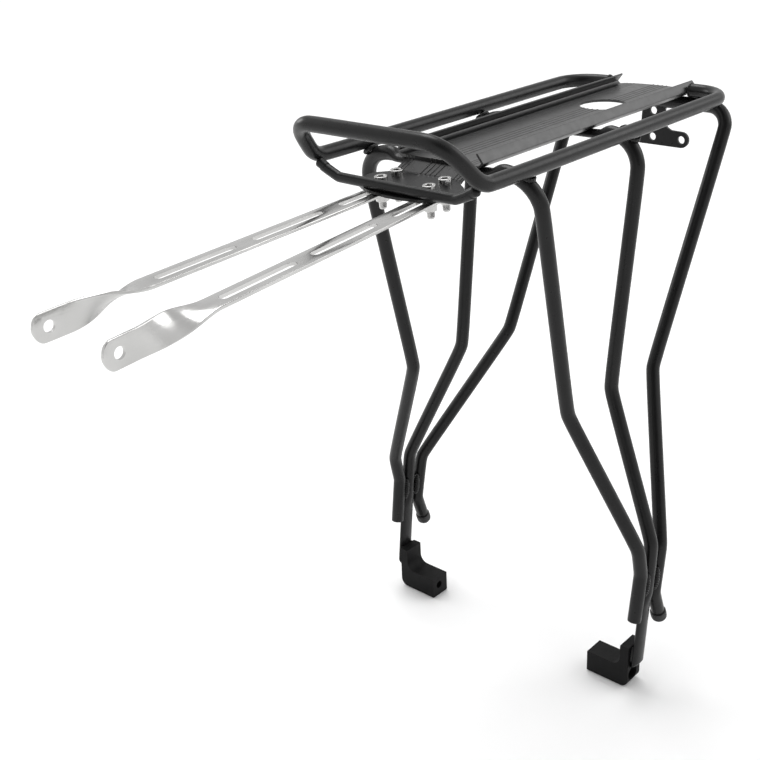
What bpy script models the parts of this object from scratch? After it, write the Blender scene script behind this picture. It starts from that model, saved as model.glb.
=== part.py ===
"""Bicycle rear rack: bent-tube frame, extruded deck, disc-brake feet, lamp bracket, sliding stays.

Millimetres in the constants, metres in the scene. X is across the bicycle, -Y points forward to
the seat tube, +Z is up. The origin is midway between the two dropout bolt holes.
"""
import math

import bmesh
import bpy
from mathutils import Matrix, Vector

MM = 0.001
GAP = 0.3                      # clearance between neighbouring pieces

# --- tubing ---------------------------------------------------------------------------------
TUBE_R = 5.0                   # rails, hoop and legs
BAR_R = 3.3                    # lower front bar
SIDES = 16

# --- rails, hoop and lower front bar ----------------------------------------------------------
RAIL_X = 67.5
RAIL_Z = 391.0
RIM_END_X = 35.6
RIM_REAR_Y = 177.4
FRONT_CORNER_Y = -117.0
HOOP = (59.0, -140.5, 419.2)   # corner of the raised hoop
BAR_Y = -116.6
BAR_Z = 380.3

# --- deck ---------------------------------------------------------------------------------------
DECK_TOP = RAIL_Z - 2.4
DECK_THICK = 1.8
DECK_HALF = 31.0
DECK_FRONT_Y = -73.5
FLANGE_FRONT_Y = -74.5
FLANGE_REAR_Y = 187.0
DECK_REAR_Y = 193.8
DECK_HOLE_Y = 113.5
DECK_HOLE_R = 17.5

# --- front tab, fasteners and stays (one plane, leaning 3 degrees down toward the front) -----------
LEAN = math.radians(3.0)
TAB_REF = (0.0, -101.0, RAIL_Z - 13.5)    # a point on the tab's top face
TAB_THICK = 1.8
BOLT_X = 19.6
BOLT_V = (-6.5, 8.5)                      # bolt rows, measured along the tab from TAB_REF
SHANK_R = 2.5
HEAD_R, HEAD_H = 4.2, 4.6
SOCKET_R, SOCKET_DEPTH = 2.3, 2.5
SPACER_R, SPACER_H = 4.8, 0.9          # thin ring under each bolt head
STAY_SPLAY = math.radians(2.2)
STAY_W, STAY_T = 16.4, 2.4
SLOT_R = 2.9
STAY_REAR = 18.0                          # rear end of the stay, along its own axis
STAY_FRONT = -257.8
SLOTS = ((14.0, -44.0), (-58.2, -113.0), (-125.6, -182.0))
TWIST = (-187.0, -238.0)
STAY_HOLE_V, STAY_HOLE_R = -248.3, 3.4
BLADE_DROP = 1.6                          # the upright end sits this much lower than the flat part

# --- legs ---------------------------------------------------------------------------------------
CROSS_Z = RAIL_Z - 5.2         # front and middle crossbars, pressed flatter under the deck
CROSS_REAR_Z = RAIL_Z - 10.4
LEG_FRONT = ((71.8, -68.3, CROSS_Z, 24), (68.3, -28.7, 212.2, 30), (114.3, -5.5, 110.5, 26),
             (114.2, -0.6, 88.0, 16), (113.8, -6.2, 51.5, 0))
LEG_MIDDLE = ((70.1, 51.3, CROSS_Z, 24), (66.9, 27.2, 210.9, 30), (114.2, 12.7, 107.0, 26),
              (114.0, 0.9, 11.8, 0))
LEG_REAR = ((67.6, 179.1, CROSS_REAR_Z, 17), (65.6, 86.9, 205.4, 30), (113.5, 26.8, 99.5, 22),
            (113.9, 19.5, 62.5, 10), (114.4, 26.2, 43.2, 0))
DIMPLE_X = (36.0, 46.0)        # full flattening inside the first, round outside the second
DIMPLE = 2.25                  # how much lower the crossbar's top is under the deck
FLAT_Z = (72.0, 54.0)          # heights where the middle tube turns into a flat bar
FLAT_Y, FLAT_X = 7.0, 2.6

# --- feet -----------------------------------------------------------------------------------------
FOOT_HALF_Y = 8.7
FOOT_Y = 1.4
FOOT_IN_X, TAB_IN_X, FOOT_OUT_X = 75.6, 103.6, 110.9
FOOT_BOTTOM, FOOT_TOP, TAB_TOP = -9.6, 7.4, 25.6
FOOT_BORE_R, FOOT_RECESS_R, FOOT_RECESS_D = 3.2, 5.6, 6.0

# --- lamp bracket ----------------------------------------------------------------------------------
LAMP_Y0, LAMP_T = 185.2, 2.2
LAMP_EAR_X, LAMP_EAR_Z = 25.0, RAIL_Z - 40.5
LAMP_TOP_HOLE_Z = RAIL_Z - 20.2
LAMP_HOLE_R = 3.0

COLORS = {
    'black': ((0.022, 0.022, 0.024, 1), 0.25, 0.42),
    'steel': ((0.62, 0.62, 0.63, 1), 1.0, 0.22),
    'chrome': ((0.74, 0.74, 0.75, 1), 1.0, 0.14),
    'plastic': ((0.03, 0.03, 0.031, 1), 0.0, 0.5),
}


def clear_scene():
    for ob in list(bpy.data.objects):
        bpy.data.objects.remove(ob, do_unlink=True)


def material(name, kind):
    color, metallic, rough = COLORS[kind]
    mat = bpy.data.materials.new(name)
    mat.use_nodes = True
    bsdf = mat.node_tree.nodes['Principled BSDF']
    bsdf.inputs['Base Color'].default_value = color
    bsdf.inputs['Metallic'].default_value = metallic
    bsdf.inputs['Roughness'].default_value = rough
    return mat


def add_object(name, bm, kind, parent=None):
    """Turn a bmesh in millimetres into one closed, outward-facing mesh object."""
    bmesh.ops.remove_doubles(bm, verts=bm.verts, dist=1e-4)
    bmesh.ops.recalc_face_normals(bm, faces=bm.faces)
    bmesh.ops.scale(bm, vec=(MM, MM, MM), verts=bm.verts)
    mesh = bpy.data.meshes.new(name)
    bm.to_mesh(mesh)
    bm.free()
    ob = bpy.data.objects.new(name, mesh)
    bpy.context.collection.objects.link(ob)
    mesh.materials.append(material('mat_' + name, kind))
    if parent is not None:
        ob.parent = parent
        ob.matrix_parent_inverse = parent.matrix_world.inverted()
    return ob


def boolean(ob, other, operation):
    """Apply an exact boolean; the other object stays hidden as its cutter."""
    mod = ob.modifiers.new(operation.lower() + '_' + other.name[:20], 'BOOLEAN')
    mod.operation = operation
    mod.solver = 'EXACT'
    mod.object = other
    other.hide_render = True
    other.display_type = 'WIRE'


# --- solids ---------------------------------------------------------------------------------------

def rounded_path(points):
    """Corner points (x, y, z, bend radius) become a polyline with arcs at the corners."""
    out = [Vector(points[0][:3])]
    for a, b, c in zip(points, points[1:], points[2:]):
        p, u, w = Vector(b[:3]), Vector(a[:3]) - Vector(b[:3]), Vector(c[:3]) - Vector(b[:3])
        u.normalize()
        w.normalize()
        half = u.angle(w) / 2
        radius, turn = b[3], math.pi - 2 * half
        if radius <= 0:
            out.append(p)
            continue
        center = p + (u + w).normalized() * radius / math.sin(half)
        start = p + u * radius / math.tan(half) - center
        axis = u.cross(w).normalized()
        steps = max(2, round(math.degrees(turn) / 13))
        for i in range(steps + 1):
            out.append(center + Matrix.Rotation(-turn * i / steps, 3, axis) @ start)
    out.append(Vector(points[-1][:3]))
    return out


def sweep(path, radius, ref, widths=None, sides=SIDES):
    """A capped tube along a polyline; widths may hold half-widths (along ref, across) per point."""
    bm = bmesh.new()
    rings = []
    for i, p in enumerate(path):
        before = (p - path[i - 1]).normalized() if i else (path[1] - p).normalized()
        after = (path[i + 1] - p).normalized() if i < len(path) - 1 else before
        t = (before + after).normalized()
        n1 = (ref - ref.dot(t) * t).normalized()
        n2 = t.cross(n1)
        a, b = widths[i] if widths else (radius, radius)
        ring = []
        for k in range(sides):
            ang = 2 * math.pi * (k + 0.5) / sides
            ring.append(bm.verts.new(p + n1 * a * math.cos(ang) + n2 * b * math.sin(ang)))
        rings.append(ring)
    for r0, r1 in zip(rings, rings[1:]):
        for k in range(sides):
            bm.faces.new((r0[k], r0[(k + 1) % sides], r1[(k + 1) % sides], r1[k]))
    bm.faces.new(rings[0][::-1])
    bm.faces.new(rings[-1])
    return bm


def prism(outline, lo, hi, axis, place=None):
    """Extrude a 2-D outline between lo and hi along 'x', 'y' or 'z'."""
    order = {'x': lambda u, v, w: (w, u, v), 'y': lambda u, v, w: (u, w, v),
             'z': lambda u, v, w: (u, v, w)}[axis]
    bm = bmesh.new()
    low = [bm.verts.new(order(u, v, lo)) for u, v in outline]
    high = [bm.verts.new(order(u, v, hi)) for u, v in outline]
    n = len(outline)
    bm.faces.new(low[::-1])
    bm.faces.new(high)
    for i in range(n):
        bm.faces.new((low[i], low[(i + 1) % n], high[(i + 1) % n], high[i]))
    if place is not None:
        bmesh.ops.transform(bm, matrix=place, verts=bm.verts)
    return bm


def arc(cx, cy, r, start, end, steps):
    """Points on an arc, angles in degrees."""
    return [(cx + r * math.cos(math.radians(start + (end - start) * i / steps)),
             cy + r * math.sin(math.radians(start + (end - start) * i / steps)))
            for i in range(steps + 1)]


def slot_outline(x, v0, v1, r, steps=8):
    """A long hole along v with round ends; v0 and v1 are its extreme ends."""
    return arc(x, v0 - r, r, 0, 180, steps) + arc(x, v1 + r, r, 180, 360, steps)


def revolve(profile, place, sides=24):
    """Spin an (r, z) profile about Z; points with r == 0 close on the axis."""
    bm = bmesh.new()
    rows = []
    for r, z in profile:
        if r == 0:
            rows.append([bm.verts.new((0, 0, z))])
        else:
            rows.append([bm.verts.new((r * math.cos(2 * math.pi * k / sides),
                                       r * math.sin(2 * math.pi * k / sides), z))
                         for k in range(sides)])
    closed = profile[0][0] != 0
    pairs = list(zip(rows, rows[1:])) + ([(rows[-1], rows[0])] if closed else [])
    for a, b in pairs:
        for k in range(sides):
            j = (k + 1) % sides
            if len(a) == 1:
                bm.faces.new((a[0], b[j], b[k]))
            elif len(b) == 1:
                bm.faces.new((a[k], a[j], b[0]))
            else:
                bm.faces.new((a[k], a[j], b[j], b[k]))
    bmesh.ops.transform(bm, matrix=place, verts=bm.verts)
    return bm


def cutter(name, bm):
    ob = add_object('cut_' + name, bm, 'black')
    ob.hide_render = True
    ob.display_type = 'WIRE'
    return ob


def mirror_points(points):
    return [(-p[0],) + tuple(p[1:]) for p in reversed(points)]


def rim_tube():
    half = [(RIM_END_X, RIM_REAR_Y, RAIL_Z, 0), (RAIL_X, RIM_REAR_Y, RAIL_Z, 25),
            (RAIL_X, FRONT_CORNER_Y, RAIL_Z, 20), HOOP + (20,)]
    path = rounded_path(half + mirror_points(half))
    add_object('rim_tube', sweep(path, TUBE_R, Vector((0, 0.35, 1)).normalized()), 'black')


def front_bar():
    half = [(60.2, -117.0, RAIL_Z - 5.0, 0), (47.0, BAR_Y, BAR_Z, 9)]
    path = rounded_path(half + mirror_points(half))
    add_object('front_bar', sweep(path, BAR_R, Vector((0, 0, 1))), 'black')


def leg_path(points):
    return rounded_path(list(points)[::-1] + mirror_points(list(points)[::-1]))


def smooth(value, start, end):
    """0 before start, 1 past end, eased between; start may be larger than end."""
    f = min(1.0, max(0.0, (value - start) / (end - start)))
    return f * f * (3 - 2 * f)


def add_stations(path, key, marks):
    """Insert points where key(point) crosses each mark."""
    out = []
    for a, b in zip(path, path[1:]):
        ka, kb = key(a), key(b)
        out.append(a)
        inside = [m for m in marks if min(ka, kb) + 0.2 < m < max(ka, kb) - 0.2]
        out += [a.lerp(b, (m - ka) / (kb - ka)) for m in sorted(inside, reverse=ka > kb)]
    return out + [path[-1]]


def leg_tubes():
    """Three bent tubes: each runs down one side, under the deck and down the other side."""
    y_ref = Vector((0, 1, 0))
    steps = [DIMPLE_X[0] + (DIMPLE_X[1] - DIMPLE_X[0]) * i / 4 for i in range(5)]
    heights = [FLAT_Z[0] + (FLAT_Z[1] - FLAT_Z[0]) * i / 4 for i in range(5)]

    def dimple(p):
        return smooth(abs(p.x), DIMPLE_X[1], DIMPLE_X[0]) if p.z > CROSS_Z - 8 else 0.0

    def size(p):
        d, f = dimple(p), smooth(p.z, *FLAT_Z)
        return (TUBE_R + 1.3 * d + (FLAT_Y - TUBE_R) * f, TUBE_R - DIMPLE * d + (FLAT_X - TUBE_R) * f)

    def size_front(p):
        return (TUBE_R + 1.3 * dimple(p), TUBE_R - DIMPLE * dimple(p))

    for name, points, shape in (('front', LEG_FRONT, size_front), ('middle', LEG_MIDDLE, size)):
        path = add_stations(leg_path(points), lambda p: p.x, steps + [-x for x in steps])
        if name == 'middle':
            path = add_stations(path, lambda p: p.z, heights)
        widths = [shape(p) for p in path]
        path = [p - Vector((0, 0, DIMPLE * dimple(p))) for p in path]
        add_object('leg_tube_' + name, sweep(path, TUBE_R, y_ref, widths), 'black')
    add_object('leg_tube_rear', sweep(leg_path(LEG_REAR), TUBE_R, y_ref), 'black')


def hook_caps():
    """Rounded plugs on the short rearward stubs of the rear legs."""
    for side, sx in (('left', -1), ('right', 1)):
        end, before = Vector(LEG_REAR[-1][:3]), Vector(LEG_REAR[-2][:3])
        d = (end - before).normalized()
        base = end + d * GAP
        base.x, d.x = base.x * sx, d.x * sx
        place = Matrix.Translation(base) @ d.to_track_quat('Z', 'Y').to_matrix().to_4x4()
        r = 5.9
        dome = [(r * math.cos(math.radians(a)), 5.2 + 4.8 * math.sin(math.radians(a)))
                for a in (20, 42, 64)]
        profile = [(0, 0), (r, 0), (r, 5.2)] + dome + [(0, 10.0)]
        add_object('hook_cap_' + side, revolve(profile, place), 'plastic')


def feet():
    """Disc-brake spacer feet: a block reaching inboard below an upright tab."""
    y0, y1 = FOOT_Y - FOOT_HALF_Y, FOOT_Y + FOOT_HALF_Y
    fil = 7.0
    outline = [(FOOT_IN_X, FOOT_BOTTOM), (FOOT_OUT_X - 6, FOOT_BOTTOM)]
    outline += arc(FOOT_OUT_X - 6, FOOT_BOTTOM + 6, 6, -75, 0, 5)
    outline += [(FOOT_OUT_X, TAB_TOP), (TAB_IN_X, TAB_TOP)]
    outline += arc(TAB_IN_X - fil, FOOT_TOP + fil, fil, 360, 270, 6)
    outline += [(FOOT_IN_X, FOOT_TOP)]
    for side, sx in (('left', -1), ('right', 1)):
        ob = add_object('foot_' + side, prism([(sx * x, z) for x, z in outline], y0, y1, 'y'), 'black')
        turn = Matrix.Rotation(math.radians(90), 4, 'Y')
        bore = prism(arc(0, 0, FOOT_BORE_R, 0, 345, 23), 60, 130, 'z', turn)
        recess = prism(arc(0, 0, FOOT_RECESS_R, 0, 345, 23), FOOT_OUT_X - FOOT_RECESS_D, 130, 'z', turn)
        if sx < 0:
            for bm in (bore, recess):
                bmesh.ops.scale(bm, vec=(-1, 1, 1), verts=bm.verts)
        boolean(ob, cutter('foot_bore_' + side, bore), 'DIFFERENCE')
        boolean(ob, cutter('foot_recess_' + side, recess), 'DIFFERENCE')


# --- deck -----------------------------------------------------------------------------------------------

def lean_matrix():
    return Matrix.Translation(Vector(TAB_REF)) @ Matrix.Rotation(LEAN, 4, 'X')


def deck_profile():
    """Cross-section of the extrusion: a flat plate with a '<' flange on each side."""
    t, b = DECK_TOP, DECK_TOP - DECK_THICK
    right = [(30.4, b), (31.8, b + 0.5), (35.2, t + 1.9), (31.0, t + 7.4), (29.6, t + 6.6),
             (33.3, t + 1.9), (31.0, t)]
    return right + [(-x, z) for x, z in reversed(right)]


def deck_plate_outline():
    rear = [(DECK_HALF * math.cos(math.radians(a)),
             FLANGE_REAR_Y + (DECK_REAR_Y - FLANGE_REAR_Y) * math.sin(math.radians(a)))
            for a in (0, 22, 45, 67, 90, 113, 135, 158, 180)]
    return [(-DECK_HALF, DECK_FRONT_Y), (DECK_HALF, DECK_FRONT_Y)] + rear


def tongue_profile():
    """Side view (y, z) of the bent tongue and tab as a thick line, tab leaning with LEAN."""
    c, s = math.cos(LEAN), math.sin(LEAN)

    def tab(v, w):
        return (TAB_REF[1] + v * c - w * s, TAB_REF[2] + v * s + w * c)
    t, b = DECK_TOP, DECK_TOP - DECK_THICK
    return [(DECK_FRONT_Y + 1.0, t), (DECK_FRONT_Y - 1.2, t - 0.7), (DECK_FRONT_Y - 2.8, t - 2.2),
            tab(18.6, 1.6), tab(16.8, 0.3), tab(15.0, 0), tab(-24, 0), tab(-24, -TAB_THICK),
            tab(15.6, -TAB_THICK), tab(18.6, -1.2), tab(20.6, 0.8),
            (DECK_FRONT_Y - 1.2, b - 1.6), (DECK_FRONT_Y + 1.0, b)]


def tongue_outline():
    """Top view of the tongue: narrow at the deck, flaring to the tab, with a bowed front edge."""
    y_front = TAB_REF[1] - 20.5
    right = [(27.5, DECK_FRONT_Y + 2), (26.5, -84.0), (28.5, -89.0), (35.5, -94.0), (38.6, -98.5),
             (39.0, -104.0), (37.5, -109.5), (33.0, -114.0), (22.0, y_front + 2.6), (10.0, y_front + 0.6)]
    return right + [(0.0, y_front)] + [(-x, y) for x, y in reversed(right)]


def deck():
    ob = add_object('deck', prism(deck_profile(), FLANGE_FRONT_Y, FLANGE_REAR_Y, 'y'), 'black')
    plate = prism(deck_plate_outline(), DECK_TOP - DECK_THICK, DECK_TOP, 'z')
    boolean(ob, cutter('deck_plate', plate), 'UNION')
    tongue = cutter('deck_tongue', prism(tongue_profile(), -45, 45, 'x'))
    trim = cutter('deck_tongue_outline', prism(tongue_outline(), RAIL_Z - 40, RAIL_Z + 10, 'z'))
    boolean(tongue, trim, 'INTERSECT')
    boolean(ob, tongue, 'UNION')
    hole = prism([(x, y + DECK_HOLE_Y) for x, y in arc(0, 0, DECK_HOLE_R, 0, 352.5, 47)],
                 RAIL_Z - 20, RAIL_Z + 20, 'z')
    boolean(ob, cutter('deck_hole', hole), 'DIFFERENCE')
    for i, (x, v) in enumerate(bolt_places() + [(0.0, BOLT_V[0])]):
        hole = prism([(x + px, v + py) for px, py in arc(0, 0, SHANK_R + GAP, 0, 345, 23)],
                     -9, 9, 'z', lean_matrix())
        boolean(ob, cutter('tab_hole_%d' % i, hole), 'DIFFERENCE')


# --- lamp bracket ---------------------------------------------------------------------------------------

def lamp_bracket():
    top = DECK_TOP - DECK_THICK - GAP
    ez = LAMP_EAR_Z
    right = [(0, ez - 6.2)] + arc(LAMP_EAR_X, ez, 6.2, -88, 80, 8)
    right += [(16.0, ez + 6.4), (12.4, ez + 8.2), (10.2, ez + 12.0), (9.8, ez + 20.0), (11.5, top - 6.0),
              (16.0, top)]
    outline = right + [(-x, z) for x, z in reversed(right[1:])]
    ob = add_object('lamp_bracket', prism(outline, LAMP_Y0, LAMP_Y0 + LAMP_T, 'y'), 'black')
    places = ((0, ez), (0, LAMP_TOP_HOLE_Z), (LAMP_EAR_X, ez), (-LAMP_EAR_X, ez))
    for i, (x, z) in enumerate(places):
        hole = prism([(x + px, z + pz) for px, pz in arc(0, 0, LAMP_HOLE_R, 0, 345, 23)],
                     LAMP_Y0 - 5, LAMP_Y0 + 8, 'y')
        boolean(ob, cutter('lamp_hole_%d' % i, hole), 'DIFFERENCE')


# --- fasteners and stays ------------------------------------------------------------------------------------

def bolt_places():
    return [(sx * BOLT_X, v) for sx in (-1, 1) for v in BOLT_V]


def fastener_names():
    return ['left_front', 'left_rear', 'right_front', 'right_rear']


def fasteners():
    """Each M5 clamp set: bolt, spacer, washer and flange nut, all square to the leaning tab."""
    lean = lean_matrix()
    head0 = SPACER_H + 2 * GAP
    under = -TAB_THICK - GAP - STAY_T - GAP
    for name, (x, v) in zip(fastener_names(), bolt_places()):
        place = lean @ Matrix.Translation((x, v, 0))
        end = under - 10.4
        bolt = [(0, end), (SHANK_R - 0.5, end), (SHANK_R, end + 0.6), (SHANK_R, head0),
                (HEAD_R - 0.2, head0), (HEAD_R, head0 + 0.3), (HEAD_R, head0 + HEAD_H - 0.5),
                (HEAD_R - 0.5, head0 + HEAD_H), (SOCKET_R, head0 + HEAD_H),
                (SOCKET_R, head0 + HEAD_H - SOCKET_DEPTH), (0, head0 + HEAD_H - SOCKET_DEPTH)]
        add_object('bolt_' + name, revolve(bolt, place), 'chrome')
        r_in = SHANK_R + GAP
        ring = [(r_in, GAP), (SPACER_R, GAP), (SPACER_R, GAP + SPACER_H), (r_in, GAP + SPACER_H)]
        add_object('spacer_' + name, revolve(ring, place), 'plastic')
        ring = [(r_in, under - 1.0), (5.0, under - 1.0), (5.0, under), (r_in, under)]
        add_object('washer_' + name, revolve(ring, place), 'chrome')
        add_object('nut_' + name, nut(place, under - 1.0 - GAP), 'chrome')


def nut(place, top):
    """A hexagonal nut around the shank, hanging below 'top'."""
    bm = bmesh.new()
    n = 24
    rows = []
    for z, scale in ((top, 1.0), (top - 4.0, 1.0)):
        outer = []
        for k in range(n):
            a = 2 * math.pi * k / n
            apothem = 4.0 / math.cos((a + math.pi / 6) % (math.pi / 3) - math.pi / 6)
            outer.append(bm.verts.new((apothem * scale * math.cos(a), apothem * scale * math.sin(a), z)))
        r = SHANK_R + GAP
        inner = [bm.verts.new((r * math.cos(2 * math.pi * k / n), r * math.sin(2 * math.pi * k / n), z))
                 for k in range(n)]
        rows.append((outer, inner))
    (o0, i0), (o1, i1) = rows
    for k in range(n):
        j = (k + 1) % n
        bm.faces.new((o0[k], o0[j], o1[j], o1[k]))
        bm.faces.new((i0[j], i0[k], i1[k], i1[j]))
        bm.faces.new((o0[j], o0[k], i0[k], i0[j]))
        bm.faces.new((o1[k], o1[j], i1[j], i1[k]))
    bmesh.ops.transform(bm, matrix=place, verts=bm.verts)
    return bm


def stay_sections():
    """Stations along the stay, from its rear end to its front end, with the twist angle."""
    out = []
    for v in (STAY_REAR, TWIST[0]):
        out.append((v, 0.0))
    for i in range(1, 13):
        f = i / 12
        s = f * f * (3 - 2 * f)
        out.append((TWIST[0] + (TWIST[1] - TWIST[0]) * f, s * math.pi / 2))
    return out


def stay_end(rot, v_from, v_to, half):
    """Half-widths that round the end of the bar between v_from and v_to."""
    steps = 6
    rows = []
    for i in range(1, steps + 1):
        a = math.pi / 2 * i / steps
        v = v_from + (v_to - v_from) * math.sin(a)
        rows.append((v, rot, max(half * math.cos(a), 1.6)))
    return rows


def stay(side, sx):
    """A slotted flat bar, flat under the tab and twisted upright at its drilled front end."""
    half = STAY_W / 2
    rows = stay_end(0.0, STAY_REAR - 3.6, STAY_REAR, half)[::-1]
    rows.append((STAY_REAR - 3.6, 0.0, half))
    rows += [(v, rot, half) for v, rot in stay_sections()[1:]]
    rows.append((STAY_FRONT + 6.0, math.pi / 2, half))
    rows += stay_end(math.pi / 2, STAY_FRONT + 6.0, STAY_FRONT, half)
    bm = bmesh.new()
    rings = []
    for v, rot, h in rows:
        c, s = math.cos(rot), -math.sin(rot) * sx
        low = -BLADE_DROP * smooth(v, *TWIST)
        ring = [bm.verts.new((p * c - q * s, v, p * s + q * c + low))
                for p, q in ((-h, -STAY_T / 2), (h, -STAY_T / 2), (h, STAY_T / 2), (-h, STAY_T / 2))]
        rings.append(ring)
    for r0, r1 in zip(rings, rings[1:]):
        for k in range(4):
            bm.faces.new((r0[k], r0[(k + 1) % 4], r1[(k + 1) % 4], r1[k]))
    bm.faces.new(rings[0][::-1])
    bm.faces.new(rings[-1])
    drop = -TAB_THICK - GAP - STAY_T / 2
    splay = Matrix.Rotation(sx * STAY_SPLAY, 4, 'Z')
    place = lean_matrix() @ Matrix.Translation((sx * BOLT_X, 1.0, drop)) @ splay
    bmesh.ops.transform(bm, matrix=place, verts=bm.verts)
    axis = bpy.data.objects.new('stay_%s_slide' % side, None)
    axis.location = Vector((sx * BOLT_X, TAB_REF[1], TAB_REF[2])) * MM
    bpy.context.collection.objects.link(axis)
    bpy.context.view_layer.update()
    ob = add_object('stay_' + side, bm, 'steel', axis)
    for i, (v0, v1) in enumerate(SLOTS):
        cut = prism(slot_outline(0, v0, v1, SLOT_R), -9, 9, 'z', place)
        boolean(ob, cutter('stay_slot_%s_%d' % (side, i), cut), 'DIFFERENCE')
    side_hole = prism([(STAY_HOLE_V + v, w - BLADE_DROP) for v, w in arc(0, 0, STAY_HOLE_R, 0, 345, 23)],
                      -12, 12, 'x', place)
    boolean(ob, cutter('stay_hole_' + side, side_hole), 'DIFFERENCE')


def main():
    clear_scene()
    rim_tube()
    front_bar()
    leg_tubes()
    hook_caps()
    feet()
    deck()
    lamp_bracket()
    fasteners()
    stay('left', -1)
    stay('right', 1)


main()
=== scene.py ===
"""Looks of the bicycle rear rack: smooth powder-coated tubes, ribbed deck, weld beads, bright stays.

Lengths are millimetres, which add_piece turns into metres; only the last section is in metres.
"""

import math

import bmesh
import bpy
from mathutils import Matrix, Vector


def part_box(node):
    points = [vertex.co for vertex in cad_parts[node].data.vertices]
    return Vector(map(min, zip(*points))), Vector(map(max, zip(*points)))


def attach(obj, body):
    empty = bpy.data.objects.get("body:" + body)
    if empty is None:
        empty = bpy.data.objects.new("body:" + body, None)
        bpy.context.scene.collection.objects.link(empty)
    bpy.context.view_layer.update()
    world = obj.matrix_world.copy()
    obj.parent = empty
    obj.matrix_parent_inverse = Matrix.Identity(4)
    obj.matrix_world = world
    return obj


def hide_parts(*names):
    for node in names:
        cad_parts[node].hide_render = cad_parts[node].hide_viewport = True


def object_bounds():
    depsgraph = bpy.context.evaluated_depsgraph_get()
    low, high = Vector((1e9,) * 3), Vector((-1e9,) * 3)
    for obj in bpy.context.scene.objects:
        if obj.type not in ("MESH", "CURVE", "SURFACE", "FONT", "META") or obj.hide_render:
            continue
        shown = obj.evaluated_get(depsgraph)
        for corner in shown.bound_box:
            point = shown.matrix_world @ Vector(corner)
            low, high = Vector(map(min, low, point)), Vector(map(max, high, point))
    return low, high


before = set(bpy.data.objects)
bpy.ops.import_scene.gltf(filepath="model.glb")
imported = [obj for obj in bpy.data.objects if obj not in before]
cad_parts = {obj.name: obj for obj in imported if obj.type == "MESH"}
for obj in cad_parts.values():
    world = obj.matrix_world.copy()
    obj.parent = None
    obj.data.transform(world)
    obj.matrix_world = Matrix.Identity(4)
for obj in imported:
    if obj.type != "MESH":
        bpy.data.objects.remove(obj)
CAD_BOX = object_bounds()
MM = 0.001

# --- driving dimensions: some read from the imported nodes, most repeated from the part -----------


def box_mm(node):
    """A CAD node's lowest and highest corner, in millimetres."""
    lo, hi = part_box(node)
    return lo / MM, hi / MM


GAP = 0.3                                  # clearance between neighbouring CAD pieces
TUBE_R, BAR_R = 5.0, 3.3                   # the main tube and the thin front bar
RIM_LO, RIM_HI = box_mm("rim_tube")
RAIL_X, RAIL_Z = RIM_HI.x - TUBE_R, RIM_LO.z + TUBE_R    # centre line of each rail
RIM_REAR_Y = RIM_HI.y - TUBE_R             # centre line of the rim across its rear corners
FRONT_CORNER_Y = -117.0                    # where the ends of the front bar meet the rim

DECK_TOP = RAIL_Z - 2.4
DECK_THICK = 1.8
DECK_HALF = 31.0
DECK_FRONT_Y, DECK_REAR_Y = -73.5, box_mm("deck")[1].y
FLANGE_FRONT_Y, FLANGE_REAR_Y = -74.5, 187.0
DECK_HOLE_Y, DECK_HOLE_R = 113.5, 17.5

# V runs back along the leaning front tab and the stays, from TAB_REF on the tab's top face
LEAN = math.radians(3.0)
TAB_REF = Vector((0.0, -101.0, RAIL_Z - 13.5))
TAB_THICK = DECK_THICK
TAB_FRONT_V, TAB_REAR_V = -20.5, 16.2
BOLT_X = 19.6
BOLT_V = {"front": -6.5, "rear": 8.5}
SHANK_R, HEAD_R, HEAD_H = 2.5, 4.2, 4.6
SOCKET_R, SOCKET_DEPTH = 2.35, 2.5         # to the corners of the hex socket, and its depth
THREAD_PITCH, THREAD_DEPTH = 0.8, 0.2
BOLT_TAIL = 10.4                           # how far a bolt reaches below its stay
SPACER_R, SPACER_H = 4.8, 0.9
WASHER_R, WASHER_T = 5.0, 1.0
NUT_HALF, NUT_H = 4.0, 4.0                 # half the width across its flats, and its height

STAY_SPLAY = math.radians(2.2)
STAY_W, STAY_T = 16.4, 2.4
STRIP_T = 2.1                              # the rolled strip, inside the CAD stay's thickness
STRIP_EDGE_R = 0.6
STAY_REAR, STAY_FRONT = 18.0, -257.8
REAR_ROUND, FRONT_ROUND = 3.6, 6.0         # lengths over which the strip's ends round off
TIP_HALF = 1.6                             # half width left at the very tips
SLOTS = ((14.0, -44.0), (-58.2, -113.0), (-125.6, -182.0))
SLOT_R = 2.9
TWIST = (-187.0, -238.0)
BLADE_HOLE_V, BLADE_HOLE_R = -248.3, 3.4
BLADE_DROP = 1.6                           # the upright end sits this much below the flat part

SIDES = (("left", -1), ("right", 1))


# --- mesh helpers -------------------------------------------------------------------------------

def add_piece(name, bm, material, body, nodes, sharp=38):
    """Link a mesh built in millimetres, shade it smooth between sharp edges and put it on a body."""
    bmesh.ops.scale(bm, vec=(MM, MM, MM), verts=bm.verts)
    bmesh.ops.recalc_face_normals(bm, faces=bm.faces)
    for face in bm.faces:
        face.smooth = True
    limit = math.radians(sharp)
    for edge in bm.edges:
        edge.smooth = len(edge.link_faces) == 2 and edge.calc_face_angle(0.0) < limit
    mesh = bpy.data.meshes.new(name)
    bm.to_mesh(mesh)
    bm.free()
    ob = bpy.data.objects.new(name, mesh)
    bpy.context.scene.collection.objects.link(ob)
    mesh.materials.append(material)
    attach(ob, body)
    if nodes:
        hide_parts(*nodes)
    return ob


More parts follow.
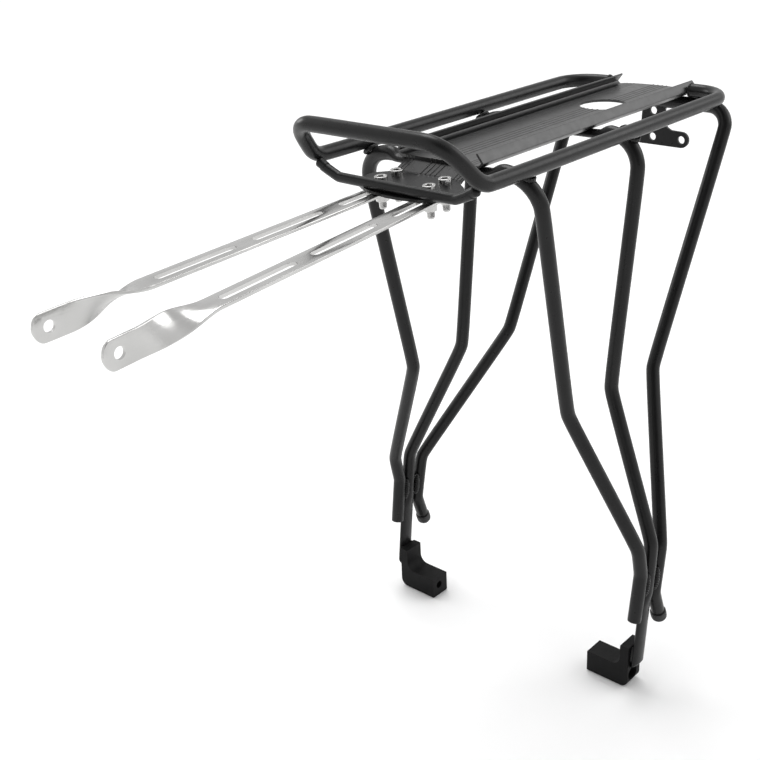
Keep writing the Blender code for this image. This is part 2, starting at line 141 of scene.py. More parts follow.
def cut(bm, tool, operation="DIFFERENCE"):
    """EXACT boolean between two bmeshes; returns the result as a new bmesh."""
    obs = []
    for part in (bm, tool):
        bmesh.ops.recalc_face_normals(part, faces=part.faces)
        mesh = bpy.data.meshes.new("boolean_work")
        part.to_mesh(mesh)
        part.free()
        ob = bpy.data.objects.new("boolean_work", mesh)
        bpy.context.scene.collection.objects.link(ob)
        obs.append(ob)
    mod = obs[0].modifiers.new("cut", "BOOLEAN")
    mod.object, mod.operation, mod.solver = obs[1], operation, "EXACT"
    evaluated = obs[0].evaluated_get(bpy.context.evaluated_depsgraph_get())
    out = bmesh.new()
    out.from_mesh(evaluated.to_mesh())
    evaluated.to_mesh_clear()
    for ob in obs:
        mesh = ob.data
        bpy.data.objects.remove(ob)
        bpy.data.meshes.remove(mesh)
    return out


def arc(cx, cy, r, a0, a1, steps):
    """Points on an arc, angles in degrees."""
    return [(cx + r * math.cos(math.radians(a0 + (a1 - a0) * i / steps)),
             cy + r * math.sin(math.radians(a0 + (a1 - a0) * i / steps))) for i in range(steps + 1)]


def loft(rings, close_ends=True):
    """Join rings of equally many points into a closed body, capped or joined round to its start."""
    bm = bmesh.new()
    rows = [[bm.verts.new(p) for p in ring] for ring in rings]
    for r0, r1 in zip(rows, rows[1:]):
        for k in range(len(r0)):
            j = (k + 1) % len(r0)
            bm.faces.new((r0[k], r0[j], r1[j], r1[k]))
    if close_ends:
        bm.faces.new(rows[0][::-1])
        bm.faces.new(rows[-1])
    else:
        for k in range(len(rows[0])):
            j = (k + 1) % len(rows[0])
            bm.faces.new((rows[-1][k], rows[-1][j], rows[0][j], rows[0][k]))
    return bm


def prism(outline, lo, hi, axis):
    """Extrude a 2-D outline along one axis; the outline's two numbers are the other two axes."""
    def place(a, b, h):
        return {"x": (h, a, b), "y": (a, h, b), "z": (a, b, h)}[axis]
    return loft([[place(a, b, h) for a, b in outline] for h in (lo, hi)])


def revolve(profile, place):
    """Spin (r, z) points about Z: a solid if they start and end on the axis, or else a ring."""
    bm = bmesh.new()
    steps, closed = 48, profile[0][0] > 0
    rows = []
    for r, z in profile:
        if r == 0:
            rows.append([bm.verts.new((0, 0, z))])
        else:
            rows.append([bm.verts.new((r * math.cos(2 * math.pi * k / steps),
                                       r * math.sin(2 * math.pi * k / steps), z)) for k in range(steps)])
    pairs = list(zip(rows, rows[1:])) + ([(rows[-1], rows[0])] if closed else [])
    for r0, r1 in pairs:
        for k in range(steps):
            j = (k + 1) % steps
            corners = [r0[k % len(r0)], r0[j % len(r0)], r1[j % len(r1)], r1[k % len(r1)]]
            unique = list(dict.fromkeys(corners))
            if len(unique) > 2:
                bm.faces.new(unique)
    bmesh.ops.transform(bm, matrix=place, verts=bm.verts)
    return bm


def round_edges(bm, width, angle):
    """Round every edge that turns by more than 'angle' degrees."""
    limit = math.radians(angle)
    edges = [e for e in bm.edges if len(e.link_faces) == 2 and e.calc_face_angle(0.0) > limit]
    bmesh.ops.bevel(bm, geom=edges, offset=width, offset_type="OFFSET", segments=2, profile=0.5,
                    affect="EDGES", clamp_overlap=True, loop_slide=True)


def cad_copy(node):
    """The CAD node's mesh in millimetres, with its flat faces whole again."""
    bm = bmesh.new()
    bm.from_mesh(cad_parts[node].data)
    bmesh.ops.scale(bm, vec=(1 / MM,) * 3, verts=bm.verts)
    bmesh.ops.remove_doubles(bm, verts=bm.verts, dist=0.002)
    return bm


def slope(value, start, end):
    """0 at start, 1 at end, and straight between them."""
    return min(1.0, max(0.0, (value - start) / (end - start)))


def blob_tube(path, radius, ripple, pitch, closed=False):
    """A rippled bead of weld metal along a path; an open bead tapers at both ends."""
    rings, travelled = [], 0.0
    count, sides = len(path), 12
    for i, p in enumerate(path):
        before = path[i - 1] if closed or i else path[0]
        after = path[(i + 1) % count] if closed else path[min(i + 1, count - 1)]
        tangent = (after - before).normalized()
        if i:
            travelled += (p - path[i - 1]).length
        side = tangent.orthogonal().normalized()
        if abs(tangent.z) < 0.9:
            side = tangent.cross(Vector((0, 0, 1))).normalized()
        up = tangent.cross(side)
        r = radius + ripple * math.sin(2 * math.pi * travelled / pitch)
        if not closed:
            r *= math.sin(math.pi * (i + 0.6) / (count + 0.2)) ** 0.35
        rings.append([p + (side * math.cos(2 * math.pi * k / sides)
                           + up * math.sin(2 * math.pi * k / sides)) * r for k in range(sides)])
    return loft(rings, close_ends=not closed)


# --- materials ----------------------------------------------------------------------------------

class Nodes:
    """Short-hand for building a material's node tree."""

    def __init__(self, name):
        self.material = bpy.data.materials.new(name)
        self.material.use_nodes = True
        self.tree = self.material.node_tree
        self.shader = self.tree.nodes["Principled BSDF"]
        self.place = self.tree.nodes.new("ShaderNodeTexCoord").outputs["Object"]

    def set(self, **values):
        """Set the shader's own sockets; an underscore stands for a space in a socket's name."""
        for key, value in values.items():
            self.shader.inputs[key.replace("_", " ")].default_value = value

    def link(self, a, b):
        self.tree.links.new(a, b)

    def noise(self, scale, detail=3.0, stretch=(1, 1, 1)):
        """Noise in the piece's own metres; a stretch below 1 draws it out along that axis."""
        mapping = self.tree.nodes.new("ShaderNodeMapping")
        mapping.inputs["Scale"].default_value = stretch
        self.link(self.place, mapping.inputs["Vector"])
        node = self.tree.nodes.new("ShaderNodeTexNoise")
        node.inputs["Scale"].default_value = scale
        node.inputs["Detail"].default_value = detail
        node.inputs["Roughness"].default_value = 0.55
        self.link(mapping.outputs["Vector"], node.inputs["Vector"])
        return node.outputs["Fac"]

    def spread(self, fac, low, high):
        """Map the noise's usual span, 0.3 to 0.7, onto low to high."""
        node = self.tree.nodes.new("ShaderNodeMapRange")
        for key, value in (("From Min", 0.3), ("From Max", 0.7), ("To Min", low), ("To Max", high)):
            node.inputs[key].default_value = value
        self.link(fac, node.inputs["Value"])
        return node.outputs["Result"]

    def ramp(self, fac, stops):
        """Colours by (position, colour) stops."""
        node = self.tree.nodes.new("ShaderNodeValToRGB")
        while len(node.color_ramp.elements) < len(stops):
            node.color_ramp.elements.new(0.5)
        for element, (position, color) in zip(node.color_ramp.elements, stops):
            element.position = position
            element.color = (*color, 1)
        self.link(fac, node.inputs["Fac"])
        return node.outputs["Color"]

    def bump(self, height, strength, distance, after=None):
        """A bump of the given distance in metres, on top of an earlier one if there is one."""
        node = self.tree.nodes.new("ShaderNodeBump")
        node.inputs["Strength"].default_value = strength
        node.inputs["Distance"].default_value = distance
        self.link(height, node.inputs["Height"])
        if after is not None:
            self.link(after, node.inputs["Normal"])
        return node.outputs["Normal"]


def powder_coat(name, shine, low, high):
    """Black coat with orange peel; shine is its specular level, low and high its roughness."""
    n = Nodes(name)
    n.set(Metallic=0.0, IOR=1.5, Specular_IOR_Level=shine)
    n.link(n.ramp(n.noise(38.0, 4.0), ((0.30, (0.0065, 0.0065, 0.0067)), (0.55, (0.0085, 0.0085, 0.0087)),
                                       (0.80, (0.0110, 0.0110, 0.0112)))), n.shader.inputs["Base Color"])
    n.link(n.spread(n.noise(210.0), low, high), n.shader.inputs["Roughness"])
    peel = n.bump(n.noise(620.0, 2.0), 0.12, 0.0002)
    n.link(n.bump(n.noise(2600.0, 2.0), 0.05, 0.0001, peel), n.shader.inputs["Normal"])
    return n.material


def stainless():
    """Polished stainless strip: fine rolling lines along the stay over a soft mirror."""
    n = Nodes("polished_stainless")
    n.set(Metallic=1.0)
    lines = n.noise(900.0, stretch=(1.0, 0.012, 1.0))
    n.link(n.ramp(n.noise(30.0), ((0.30, (0.46, 0.458, 0.45)), (0.70, (0.55, 0.547, 0.54)))),
           n.shader.inputs["Base Color"])
    n.link(n.spread(lines, 0.15, 0.27), n.shader.inputs["Roughness"])
    grain = n.bump(lines, 0.08, 0.00008)
    n.link(n.bump(n.noise(24.0, 2.0), 0.05, 0.0006, grain), n.shader.inputs["Normal"])
    return n.material


def zinc():
    """Bright plated steel with a faintly cloudy plating."""
    n = Nodes("bright_plated_steel")
    n.set(Metallic=1.0)
    n.link(n.ramp(n.noise(420.0), ((0.3, (0.44, 0.437, 0.43)), (0.7, (0.54, 0.537, 0.53)))),
           n.shader.inputs["Base Color"])
    n.link(n.spread(n.noise(900.0), 0.14, 0.30), n.shader.inputs["Roughness"])
    n.link(n.bump(n.noise(1800.0, 2.0), 0.10, 0.00006), n.shader.inputs["Normal"])
    return n.material


def plastic():
    """Matt black moulded plastic with a fine spark-eroded texture."""
    n = Nodes("matt_black_plastic")
    n.set(IOR=1.49)
    n.link(n.ramp(n.noise(90.0), ((0.3, (0.011, 0.011, 0.0115)), (0.7, (0.018, 0.018, 0.0185)))),
           n.shader.inputs["Base Color"])
    n.link(n.spread(n.noise(1500.0, 2.0), 0.50, 0.66), n.shader.inputs["Roughness"])
    n.link(n.bump(n.noise(2400.0, 2.0), 0.25, 0.00012), n.shader.inputs["Normal"])
    return n.material


COAT = powder_coat("satin_black_powder_coat", 0.24, 0.26, 0.36)
DECK_COAT = powder_coat("black_anodised_deck", 0.72, 0.30, 0.40)
CAST_COAT = powder_coat("matt_black_cast_coat", 0.10, 0.50, 0.62)
STEEL, ZINC, PLASTIC = stainless(), zinc(), plastic()


# --- tubes: finer copies of the CAD tubes -------------------------------------------------------

CAD_TUBE_SIDES = 16


def smooth_tube(node):
    """The CAD tube with rounded ends and a finer, rounder wall."""
    bm = cad_copy(node)
    bmesh.ops.join_triangles(bm, faces=bm.faces, angle_face_threshold=math.radians(12),
                             angle_shape_threshold=math.radians(180))
    round_edges(bm, 0.7, angle=60)
    bm.normal_update()
    # subdivision pulls a regular ring's corners in to (2 + cos(turn)) / 3 of their radius
    swell = TUBE_R * (1 - (2 + math.cos(2 * math.pi / CAD_TUBE_SIDES)) / 3)
    for v in bm.verts:
        v.co += v.normal * swell
    ob = add_piece(node + "_coated", bm, COAT, "frame", (node,), sharp=70)
    mod = ob.modifiers.new("finer", "SUBSURF")
    mod.levels = mod.render_levels = 2


for tube in ("rim_tube", "front_bar", "leg_tube_front", "leg_tube_middle", "leg_tube_rear"):
    smooth_tube(tube)


# --- flat machined or pressed pieces: CAD shape with rounded edges ------------------------------

def eased(node, width, material, angle=35):
    """The CAD piece with its sharp edges rounded and its flat faces kept flat."""
    bm = cad_copy(node)
    bmesh.ops.dissolve_limit(bm, angle_limit=math.radians(0.8), verts=bm.verts, edges=bm.edges,
                             use_dissolve_boundaries=False)
    round_edges(bm, width, angle)
    ob = add_piece(node + "_finished", bm, material, "frame", (node,))
    ob.modifiers.new("flat_faces", "WEIGHTED_NORMAL").keep_sharp = True


eased("lamp_bracket", 0.35, COAT)
for side, _ in SIDES:
    eased("foot_" + side, 0.8, CAST_COAT, angle=40)
    eased("hook_cap_" + side, 0.5, PLASTIC, angle=50)


# --- deck ---------------------------------------------------------------------------------------

GROOVES = (20.6, 23.4, 26.2)               # fine grooves beside each flange
RIBS = (1.9, 5.7)                          # fine ribs along the middle
GROOVE_DEPTH, GROOVE_HALF = 0.3, 0.4
RIB_HEIGHT, RIB_HALF = 0.3, 0.75


def surface_line(half, rib=1.0, groove=1.0):
    """(x, height) points across the deck's top from +half to -half; rib and groove scale heights."""
    points = []
    for x in GROOVES:
        if x < half - 1:
            points += [(x + GROOVE_HALF * k, -GROOVE_DEPTH * groove * (1 - abs(k))) for k in (1, 0, -1)]
    for x in RIBS:
        points += [(x + RIB_HALF * k, RIB_HEIGHT * rib * h)
                   for k, h in ((1, 0), (0.45, 0.9), (-0.45, 0.9), (-1, 0))]
    points += [(-x, h) for x, h in points if x > RIB_HALF]
    return [(half, 0.0)] + sorted(points, reverse=True) + [(-half, 0.0)]


def flange(sx):
    """Outer and inner faces of the '<' flange, from the plate's underside round to its top."""
    t, b = DECK_TOP, DECK_TOP - DECK_THICK
    outer = [(30.4, b), (31.2, b + 0.15), (31.9, b + 0.6), (34.9, t + 1.3), (35.2, t + 1.9),
             (35.0, t + 2.5)]
    lip = arc(30.35, t + 7.0, 0.75, 32, 200, 6)
    inner = [(33.0, t + 2.5), (33.3, t + 1.9), (33.0, t + 1.4), (31.6, t + 0.2)]
    return [(sx * x, z) for x, z in outer + lip + inner]


def deck_body():
    """Ribbed extrusion with both flanges, a bowed rear edge and the strap hole."""
    t, b = DECK_TOP, DECK_TOP - DECK_THICK
    top = [(x, t + h) for x, h in surface_line(DECK_HALF)]
    section = flange(1) + top + flange(-1)[::-1]
    bm = prism(section, FLANGE_FRONT_Y, FLANGE_REAR_Y, "y")
    plate = prism(top + [(-DECK_HALF, b), (DECK_HALF, b)], FLANGE_REAR_Y - 3, DECK_REAR_Y + 1, "y")
    bow_depth, ahead = DECK_REAR_Y - FLANGE_REAR_Y, FLANGE_REAR_Y - 37
    bow = [(DECK_HALF * c, FLANGE_REAR_Y + bow_depth * s) for c, s in arc(0, 0, 1, 0, 180, 24)]
    plate = cut(plate, prism([(-DECK_HALF, ahead), (DECK_HALF, ahead)] + bow, b - 5, t + 5, "z"),
                "INTERSECT")
    bm = cut(bm, plate, "UNION")
    return cut(bm, prism(arc(0, DECK_HOLE_Y, DECK_HOLE_R, 0, 356, 89), b - 20, t + 20, "z"))


def tab_point(v, w):
    """(y, z) of the point at V and at height w above the tab's top face."""
    c, s = math.cos(LEAN), math.sin(LEAN)
    return (TAB_REF.y + v * c - w * s, TAB_REF.z + v * s + w * c)


def bent_line(points, radii):
    """A polyline with its corners rounded by the given radii, cut into short lengths."""
    bend_step, spacing = 9.0, 1.0          # degrees round a bend, millimetres along a straight
    out = [points[0]]
    for a, p, b, r in zip(points, points[1:], points[2:], radii[1:]):
        u, w = (a - p).normalized(), (b - p).normalized()
        turn = math.pi - u.angle(w)
        reach = r * math.tan(turn / 2)
        centre = p + (u + w).normalized() * (r / math.cos(turn / 2))
        steps = max(3, int(math.degrees(turn) / bend_step))
        start, end = p + u * reach - centre, p + w * reach - centre
        out += [centre + start.slerp(end, i / steps) for i in range(steps + 1)]
    out.append(points[-1])
    fine = []
    for a, b in zip(out, out[1:]):
        count = max(1, int((b - a).length / spacing))
        fine += [a.lerp(b, i / count) for i in range(count)]
    return fine + [out[-1]]


# y and half width of the tongue and the tab, from just behind the deck's front edge forward
TONGUE_OUTLINE = ((DECK_FRONT_Y + 4, 27.5), (-80.0, 27.0), (-84.0, 26.7), (-87.0, 27.2), (-89.6, 28.9),
                  (-94.0, 35.5), (-96.3, 37.6), (-99.2, 38.7), (-103.0, 39.0), (-107.0, 38.6),
                  (-110.6, 37.0), (-114.0, 33.0), (-116.8, 27.6), (-118.9, 22.0), (-120.9, 10.0),
                  (TAB_REF.y + TAB_FRONT_V - 0.1, 3.0))
TONGUE_BENDS = (0, 3.5, 4.0, 0)            # bend radii: none at the ends
RIBS_END, RIBS_FADE = 12.0, 3.5            # the ribs fade to nothing over the bend into the tab
RIBS_GROW, RIBS_TALLER = 3.0, 0.9          # and stand taller where the plate dips


def tongue_half(y):
    """Half width of the tongue at y, read from its outline."""
    return next(w0 + (w1 - w0) * (y0 - y) / (y0 - y1)
                for (y0, w0), (y1, w1) in zip(TONGUE_OUTLINE, TONGUE_OUTLINE[1:]) if y0 >= y >= y1)


def tongue():
    """The plate bent down and forward into the flat tab."""
    start = FLANGE_FRONT_Y - 0.02
    corners = [(start, DECK_TOP), (start - 1.7, DECK_TOP), tab_point(TAB_REAR_V, 0),
               tab_point(TAB_FRONT_V, 0)]
    line = bent_line([Vector((0, y, z)) for y, z in corners], TONGUE_BENDS)
    widest = max(w for _, w in TONGUE_OUTLINE) + 5
    rings = []
    for i, p in enumerate(line):
        tangent = (line[min(i + 1, len(line) - 1)] - line[max(i - 1, 0)]).normalized()
        normal = tangent.cross(Vector((1, 0, 0))).normalized()
        if normal.z < 0:
            normal = -normal
        half = tongue_half(p.y)
        fade = slope(p.y, TAB_REF.y + RIBS_END, TAB_REF.y + RIBS_END + RIBS_FADE)
        tall = 1.0 + RIBS_TALLER * slope(p.y, start, start - RIBS_GROW)
        upper = [(max(-half, min(half, x)), h) for x, h in surface_line(widest, fade * tall, fade)]
        rings.append([Vector((x, 0, 0)) + p + normal * h for x, h in upper]
                     + [Vector((x, 0, 0)) + p - normal * DECK_THICK for x in (-half, half)])
    bm = loft(rings)
    bmesh.ops.remove_doubles(bm, verts=bm.verts, dist=0.005)
    bmesh.ops.dissolve_degenerate(bm, dist=0.005, edges=bm.edges)
    return bm


add_piece("deck_ribbed", deck_body(), DECK_COAT, "frame", ("deck",), sharp=28)
add_piece("deck_tongue", tongue(), COAT, "frame", (), sharp=28)


# --- fasteners ----------------------------------------------------------------------------------

def lean_matrix():
    """The tab's own frame: X across, Y along V, Z up off its top face."""
    return Matrix.Translation(TAB_REF) @ Matrix.Rotation(LEAN, 4, "X")


def bolt(place, under):
    """Cap-head M5 bolt with a hex socket, and thread rings below the stay."""
    head0 = SPACER_H + 2 * GAP
    top = head0 + HEAD_H
    end = under - BOLT_TAIL
    profile = [(0, end), (SHANK_R - 0.7, end), (SHANK_R - 0.15, end + 0.6)]
    z = end + 1.0
    while z < under - 0.6:
        profile += [(SHANK_R - THREAD_DEPTH, z), (SHANK_R, z + THREAD_PITCH / 2)]
        z += THREAD_PITCH
    profile += [(SHANK_R, under), (SHANK_R, head0), (HEAD_R - 0.25, head0), (HEAD_R, head0 + 0.3)]
    profile += arc(HEAD_R - 0.5, top - 0.5, 0.5, 0, 90, 5)
    profile += [(SOCKET_R + 0.25, top), (SOCKET_R - 0.1, top - 0.35), (0, top - 0.35)]
    bm = revolve(profile, Matrix.Identity(4))
    bm = cut(bm, prism(arc(0, 0, SOCKET_R, 15, 315, 5), top - SOCKET_DEPTH, top + 3, "z"))
    bmesh.ops.transform(bm, matrix=place, verts=bm.verts)
    return bm


def ring(r_out, z0, z1, edge_r, place):
    """A flat ring around a bolt, with rounded outer edges."""
    r_in = SHANK_R + GAP
    profile = [(r_in, z1), (r_in, z0)] + arc(r_out - edge_r, z0 + edge_r, edge_r, -90, 0, 3)
    profile += arc(r_out - edge_r, z1 - edge_r, edge_r, 0, 90, 3)
    return revolve(profile, place)


def nut(place, top):
    """A hexagon nut with turned corners and a bore that opens out at its lower end."""
    corner = NUT_HALF / math.cos(math.pi / 6)
    low = top - NUT_H
    hexagon = prism([(corner * math.cos(a), corner * math.sin(a))
                     for a in (math.pi / 3 * k for k in range(6))], low, top, "z")
    turned = [(0, low), (NUT_HALF - 0.2, low), (corner + 0.1, low + 0.75), (corner + 0.1, top - 0.3),
              (corner - 0.2, top), (0, top)]
    bm = cut(hexagon, revolve(turned, Matrix.Identity(4)), "INTERSECT")
    bore = [(0, low - 1), (SHANK_R + 0.75, low - 1), (SHANK_R + 0.75, low), (SHANK_R + 0.1, low + 0.5),
            (SHANK_R + 0.1, top + 1), (0, top + 1)]
    bm = cut(bm, revolve(bore, Matrix.Identity(4)))
    bmesh.ops.transform(bm, matrix=place, verts=bm.verts)
    return bm


def fasteners():
    """Four clamp sets: bolt, ring under its head, washer and nut, each turned its own way."""
    under = -TAB_THICK - GAP - STAY_T - GAP
    for side, sx in SIDES:
        for row, v in BOLT_V.items():
            name = side + "_" + row
            place = lean_matrix() @ Matrix.Translation((sx * BOLT_X, v, 0))
            turn = place @ Matrix.Rotation(0.4 * sx + v, 4, "Z")
            add_piece("bolt_m5_" + name, bolt(turn, under), ZINC, "frame", ("bolt_" + name,))
            add_piece("spacer_ring_" + name, ring(SPACER_R, GAP, GAP + SPACER_H, 0.25, place), PLASTIC,
                      "frame", ("spacer_" + name,))
            add_piece("washer_flat_" + name, ring(WASHER_R, under - WASHER_T, under, 0.2, place), ZINC,
                      "frame", ("washer_" + name,))
            add_piece("nut_hex_" + name, nut(turn, under - WASHER_T - GAP), ZINC, "frame",
                      ("nut_" + name,), sharp=25)


fasteners()


# --- stays --------------------------------------------------------------------------------------

def stay_half(v):
    """Half width of the strip at v: full, with softly rounded ends."""
    half = STAY_W / 2
    for end, length in ((STAY_REAR, REAR_ROUND), (STAY_FRONT, FRONT_ROUND)):
        d = abs(v - end)
        if d < length:
            half = min(half, max(TIP_HALF, STAY_W / 2 * math.sqrt(1 - ((length - d) / length) ** 2)))
    return half


def stay_section(v, sx):
    """The strip's outline at v, with rounded edges, turned by as much as the twist has reached."""
    f = slope(v, *TWIST)
    f = f * f * (3 - 2 * f)
    c, s, low = math.cos(f * math.pi / 2), -math.sin(f * math.pi / 2) * sx, -BLADE_DROP * f
    h, t, r = stay_half(v), STRIP_T / 2, STRIP_EDGE_R
    edge = arc(h - r, -t + r, r, -90, 0, 3) + arc(h - r, t - r, r, 0, 90, 3)
    section = edge + [(-p, q) for p, q in reversed(edge)]
    return [(p * c - q * s, v, p * s + q * c + low) for p, q in section]


def stay(side, sx):
    """A slotted strip twisted upright at its drilled end."""
    stations = [STAY_REAR - REAR_ROUND * (1 - math.cos(math.radians(a))) for a in range(0, 91, 15)]
    stations += [TWIST[0] + (TWIST[1] - TWIST[0]) * i / 34 for i in range(35)]
    stations += [STAY_FRONT + FRONT_ROUND * (1 - math.cos(math.radians(a))) for a in range(90, -1, -9)]
    bm = loft([stay_section(v, sx) for v in stations])
    through = STAY_W
    for v0, v1 in SLOTS:
        slot_shape = arc(0, v0 - SLOT_R, SLOT_R, 0, 180, 16) + arc(0, v1 + SLOT_R, SLOT_R, 180, 360, 16)
        bm = cut(bm, prism(slot_shape, -through, through, "z"))
    hole = [(v + BLADE_HOLE_V, w - BLADE_DROP) for v, w in arc(0, 0, BLADE_HOLE_R, 0, 350, 35)]
    bm = cut(bm, prism(hole, -through, through, "x"))
    origin = (sx * BOLT_X, sum(BOLT_V.values()) / 2, -TAB_THICK - GAP - STAY_T / 2)
    place = lean_matrix() @ Matrix.Translation(origin) @ Matrix.Rotation(sx * STAY_SPLAY, 4, "Z")
    bmesh.ops.transform(bm, matrix=place, verts=bm.verts)
    add_piece("stay_strip_" + side, bm, STEEL, "stay_" + side, ("stay_" + side,), sharp=30)


for side, sx in SIDES:
    stay(side, sx)


# --- weld beads ---------------------------------------------------------------------------------

RING_PITCH, RING_RIPPLE, RING_POINTS = 1.7, 0.14, 60
RUN_PITCH, RUN_STEP = 1.9, 0.35


def weld(name, bm):
    """Put a run of weld on the frame under the same coat; it stands for no CAD node."""
    add_piece(name, bm, COAT, "frame", (), sharp=80)


def circle_bead(name, centre, axis, radius, thick):
    """A ring of weld around the point where two tubes cross and touch."""
    axis = Vector(axis).normalized()
    u = axis.orthogonal().normalized()
    w = axis.cross(u)
    angles = [2 * math.pi * k / RING_POINTS for k in range(RING_POINTS)]
    path = [Vector(centre) + (u * math.cos(a) + w * math.sin(a)) * radius for a in angles]
    length = 2 * math.pi * radius
    pitch = length / round(length / RING_PITCH)
    weld(name, blob_tube(path, thick, RING_RIPPLE, pitch, closed=True))


def line_bead(name, start, end, thick, ripple=0.2):
    """A short straight run of weld."""
    a, b = Vector(start), Vector(end)
    count = max(10, int((b - a).length / RUN_STEP))
    path = [a.lerp(b, i / count) for i in range(count + 1)]
    weld(name, blob_tube(path, thick, ripple, RUN_PITCH))


def flare(name, start, end, r0, r1):
    """A smooth collar of weld that widens from a thin tube's wall onto a thicker one."""
    a, b = Vector(start), Vector(end)
    axis = b - a
    turn = Matrix.Translation(a) @ axis.to_track_quat("Z", "Y").to_matrix().to_4x4()
    length = axis.length
    wall = [(r0 + (r1 - r0) * f * f, length * f) for f in (0, 0.2, 0.4, 0.6, 0.8, 1.0)]
    weld(name, revolve([(0, 0)] + wall + [(r1 * 0.8, length + 0.8), (0, length + 1.2)], turn))


BEND_R = 24.0                              # bend radius at the top of the front and middle legs
CROSS_Z = RAIL_Z - 5.2                     # centre line of their crossbars
LEG_TOPS = {"front": (71.8, -68.3), "middle": (70.1, 51.3)}    # x and y where each turns down


def leg_welds():
    """Rings of weld where each rail rests on the bends of the front and middle leg tubes."""
    for leg, (x, y) in LEG_TOPS.items():
        for side, sx in SIDES:
            centre = Vector((x - BEND_R, y, CROSS_Z - BEND_R))
            rail = Vector((RAIL_X, y, RAIL_Z))
            out = (rail - centre).normalized()
            touch = centre + out * (BEND_R + TUBE_R)
            touch, out = Vector((touch.x * sx, y, touch.z)), Vector((out.x * sx, 0, out.z))
            circle_bead("weld_rail_%s_%s" % (leg, side), touch, out, 3.9, 1.5)


# where the leg tubes lie side by side: (y, z) of each groove's lower and upper end
GROOVE_ENDS = {"front": ((1.4, 70.0), (4.6, 87.0)), "rear": ((14.4, 69.0), (17.6, 86.0))}
GROOVE_FACES = {"out": 117.0, "in": 110.8}                     # x of the outer and inner run
FLAT_BAR_X, FLAT_BAR_EDGES = 112.0, {"front": -4.7, "rear": 6.9}    # x, and y at each edge


def bundle_welds():
    """Runs of weld between the three leg tubes above each foot, and down each flat bar's edges."""
    for side, sx in SIDES:
        for name, ((y0, z0), (y1, z1)) in GROOVE_ENDS.items():
            for face, x in GROOVE_FACES.items():
                line_bead("weld_%s_%s_%s" % (name, face, side), (sx * x, y0, z0), (sx * x, y1, z1), 2.7,
                          0.35)
        for edge, y in FLAT_BAR_EDGES.items():
            line_bead("weld_foot_%s_%s" % (edge, side), (sx * FLAT_BAR_X, y, 13.0),
                      (sx * FLAT_BAR_X, y + 1.4, 25.2), 1.5, 0.1)


def rail_end_welds():
    """Welds at the rail ends, under the rear corners, at the front bar and on the lamp bracket."""
    for side, sx in SIDES:
        circle_bead("weld_deck_" + side, (sx * 35.5, RIM_REAR_Y, RAIL_Z), (1, 0, 0), 4.7, 0.9)
        flare("weld_bar_" + side, (sx * 57.6, FRONT_CORNER_Y, RAIL_Z - 5.7),
              (sx * 63.0, FRONT_CORNER_Y, RAIL_Z - 2.9), BAR_R, BAR_R + 0.15)
        for face, y in (("front", RIM_REAR_Y - 2.9), ("rear", RIM_REAR_Y + 4.4)):
            line_bead("weld_corner_%s_%s" % (face, side), (sx * 58.0, y, RAIL_Z - 5.3),
                      (sx * 42.0, y, RAIL_Z - 5.3), 1.7)
    for face, y in (("front", 184.6), ("rear", 188.0)):
        line_bead("weld_lamp_" + face, (-14.0, y, DECK_TOP - 2.6), (14.0, y, DECK_TOP - 2.6), 1.0)


# height, centre x, half thickness and half width of the weld below each flat bar
TOE_RINGS = ((13.5, 114.0, 2.5, 6.9), (11.4, 114.0, 2.5, 6.9), (10.2, 113.6, 2.3, 6.7),
             (9.0, 112.9, 1.9, 6.2), (7.9, 112.1, 1.3, 5.5), (7.1, 111.4, 0.7, 4.7), (6.7, 111.1, 0.3, 4.0))
TOE_Y = 1.0                                # centre of those rings


def toe_welds():
    """The tapered weld that blends the end of each flat bar into its foot."""
    angles = [math.radians(10 * k) for k in range(36)]
    for side, sx in SIDES:
        rings = [[(sx * (x + half_x * math.cos(a)), TOE_Y + half_y * math.sin(a), z) for a in angles]
                 for z, x, half_x, half_y in TOE_RINGS]
        weld("weld_toe_" + side, loft(rings))


leg_welds()
bundle_welds()
rail_end_welds()
toe_welds()


# --- stage, light and camera --------------------------------------------------------------------

FLOOR_R, FLOOR_GAP = 30.0, 0.0006
WORLD_GREY = 0.97
# direction, the cosines where the patch is full and where it has faded out, and its grey
OVERHEAD = ((-0.35, 0.35, 0.85), 0.95, 0.25, 0.78)     # above and behind the rack
DIM_SIDE = ((0.52, -0.57, 0.62), 0.96, 0.78, 0.10)     # above the camera
SUN_FROM, SUN_STRENGTH, SUN_ANGLE = (-0.35, 0.25, 0.9), 1.5, math.radians(35)
RACK_MIDDLE = (0.0, 0.0, 0.22)
MIX_A, MIX_B, MIX_RESULT = 6, 7, 2                     # the Mix node's colour sockets

# the photo's viewpoint, found by fitting the straight rails and the legs
CAMERA_AT = (0.479113, -0.644597, 0.576469)
AZIMUTH, ELEVATION, ROLL = (math.radians(a) for a in (43.4447, 24.3949, -3.031))
SENSOR, LENS = 36.0, 57.03                             # millimetres, as Blender takes them


def floor():
    """A wide pale disc just under the feet."""
    bm = bmesh.new()
    lowest = CAD_BOX[0].z - FLOOR_GAP
    rim = [bm.verts.new((FLOOR_R * math.cos(math.radians(a)), FLOOR_R * math.sin(math.radians(a)), lowest))
           for a in range(0, 360, 5)]
    bm.faces.new(rim)
    mesh = bpy.data.meshes.new("studio_floor")
    bm.to_mesh(mesh)
    bm.free()
    ob = bpy.data.objects.new("studio_floor", mesh)
    bpy.context.scene.collection.objects.link(ob)
    n = Nodes("studio_white")
    n.set(Roughness=0.9, Specular_IOR_Level=0.1)
    n.link(n.ramp(n.noise(2.0, 2.0), ((0.3, (0.90, 0.90, 0.90)), (0.7, (0.92, 0.92, 0.92)))),
           n.shader.inputs["Base Color"])
    mesh.materials.append(n.material)


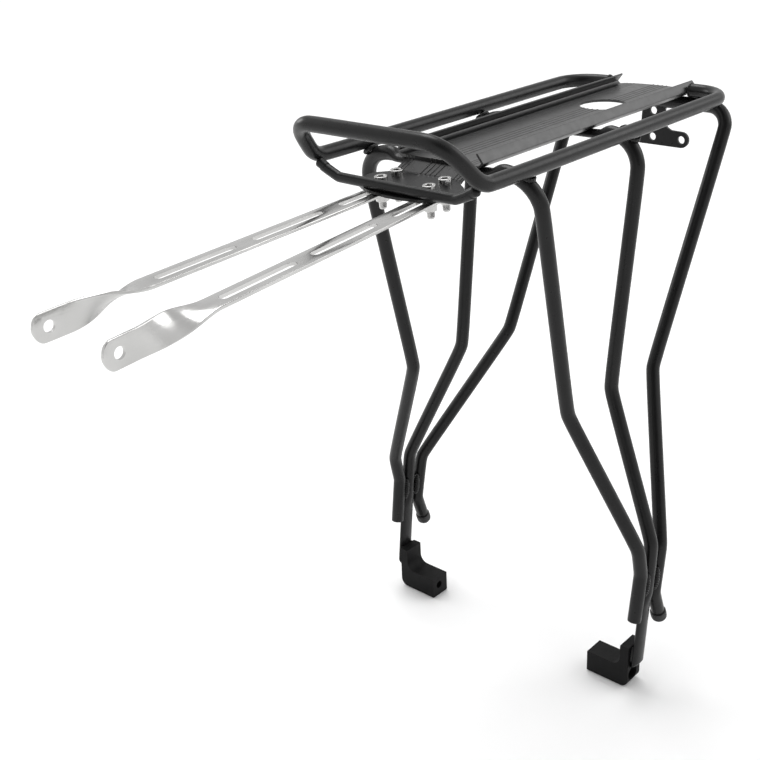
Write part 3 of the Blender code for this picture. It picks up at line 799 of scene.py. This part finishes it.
def link_aimed(name, data, direction):
    """Link a light that shines along a direction."""
    ob = bpy.data.objects.new(name, data)
    bpy.context.scene.collection.objects.link(ob)
    ob.rotation_euler = direction.to_track_quat("-Z", "Y").to_euler()
    return ob


def panel(name, at, size, power):
    """A round soft light aimed at the middle of the rack."""
    data = bpy.data.lights.new(name, "AREA")
    data.shape, data.size, data.energy = "DISK", size, power
    link_aimed(name, data, Vector(RACK_MIDDLE) - Vector(at)).location = at


def glow(tree, direction, near, far, grey):
    """Mix a soft-edged patch of grey into the world around one direction."""
    place = tree.nodes.new("ShaderNodeTexCoord")
    dot = tree.nodes.new("ShaderNodeVectorMath")
    dot.operation = "DOT_PRODUCT"
    dot.inputs[1].default_value = Vector(direction).normalized()
    amount = tree.nodes.new("ShaderNodeMapRange")
    amount.interpolation_type = "SMOOTHSTEP"
    amount.inputs["From Min"].default_value = far
    amount.inputs["From Max"].default_value = near
    mix = tree.nodes.new("ShaderNodeMix")
    mix.data_type = "RGBA"
    tree.links.new(place.outputs["Generated"], dot.inputs[0])
    tree.links.new(dot.outputs["Value"], amount.inputs["Value"])
    tree.links.new(amount.outputs["Result"], mix.inputs["Factor"])
    mix.inputs[MIX_B].default_value = (grey, grey, grey, 1)
    return mix


def lights():
    """A white studio, greyer overhead and dark above the camera, with a broad sun and two panels."""
    world = bpy.data.worlds.new("studio_world")
    bpy.context.scene.world = world
    world.use_nodes = True
    tree = world.node_tree
    overhead = glow(tree, *OVERHEAD)
    overhead.inputs[MIX_A].default_value = (WORLD_GREY, WORLD_GREY, WORLD_GREY, 1)
    dim = glow(tree, *DIM_SIDE)
    tree.links.new(overhead.outputs[MIX_RESULT], dim.inputs[MIX_A])
    tree.links.new(dim.outputs[MIX_RESULT], tree.nodes["Background"].inputs["Color"])
    sun = bpy.data.lights.new("broad_sun", "SUN")
    sun.energy, sun.angle = SUN_STRENGTH, SUN_ANGLE
    link_aimed("broad_sun", sun, -Vector(SUN_FROM))
    panel("left_strip", (-1.7, -0.2, 0.9), size=0.8, power=6)
    panel("rear_right_panel", (1.1, 1.5, 1.5), size=1.5, power=11)
    bpy.context.scene.view_settings.view_transform = "Standard"


def camera():
    """The photo's view: azimuth from the front toward +X, elevation above level, and a slight roll."""
    data = bpy.data.cameras.new("photo_view")
    data.sensor_width = data.sensor_height = SENSOR
    data.lens = LENS
    ob = bpy.data.objects.new("photo_view", data)
    bpy.context.scene.collection.objects.link(ob)
    turn = Matrix.Rotation(AZIMUTH, 4, "Z") @ Matrix.Rotation(math.pi / 2 - ELEVATION, 4, "X")
    ob.matrix_world = Matrix.Translation(CAMERA_AT) @ turn @ Matrix.Rotation(ROLL, 4, "Z")
    bpy.context.scene.camera = ob


floor()
lights()
camera()
